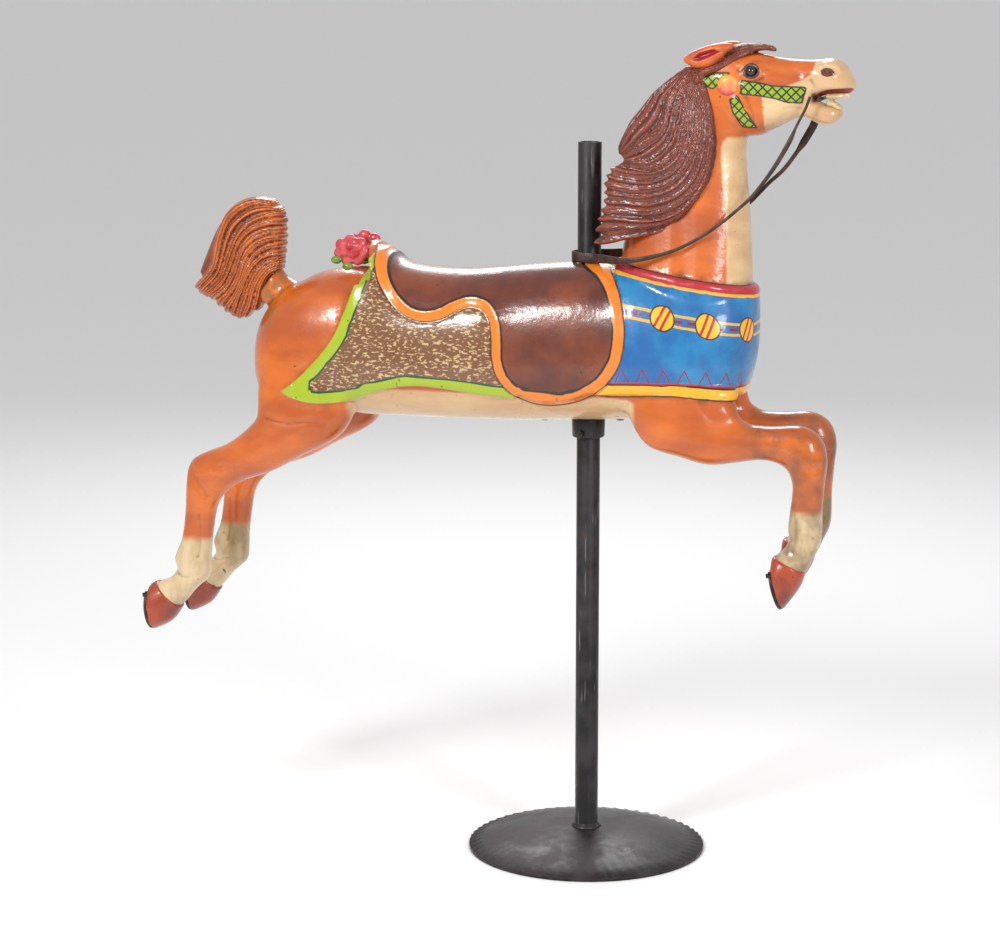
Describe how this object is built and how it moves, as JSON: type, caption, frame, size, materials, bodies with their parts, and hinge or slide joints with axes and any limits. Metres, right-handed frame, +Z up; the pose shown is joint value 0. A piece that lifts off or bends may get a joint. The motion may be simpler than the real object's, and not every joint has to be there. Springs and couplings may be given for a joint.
{
  "type": "carousel horse on a stand",
  "caption": "Carved and painted wooden carousel horse, leaping, with saddle, rose-trimmed cantle and leather rein, held on a black steel tube with a domed disc foot.",
  "frame": {"origin": "middle of the object's box, on the floor", "axes": "+X the way the horse looks, +Y its left side, +Z up along the tube"},
  "size_m": [1.3702, 0.4572, 1.556],
  "materials": {
    "painted_wood": "glossy aged paint and varnish",
    "glass_eye": "polished",
    "iron": "dull",
    "leather": "worn satin",
    "shoe_metal": "worn paint",
    "black_steel": "satin black"
  },
  "bodies": {
    "root": {"horse": "painted_wood", "glass_eye_right": "glass_eye", "glass_eye_left": "glass_eye", "bit": "iron", "rein": "leather", "horseshoe_front_right": "shoe_metal", "horseshoe_front_left": "shoe_metal", "horseshoe_hind_right": "shoe_metal", "horseshoe_hind_left": "shoe_metal", "belly_bolt_front": "iron", "belly_bolt_rear": "iron", "collar_bolt": "iron", "stop_collar": "black_steel", "pole": "black_steel", "base_disc": "black_steel"}
  },
  "joints": []
}
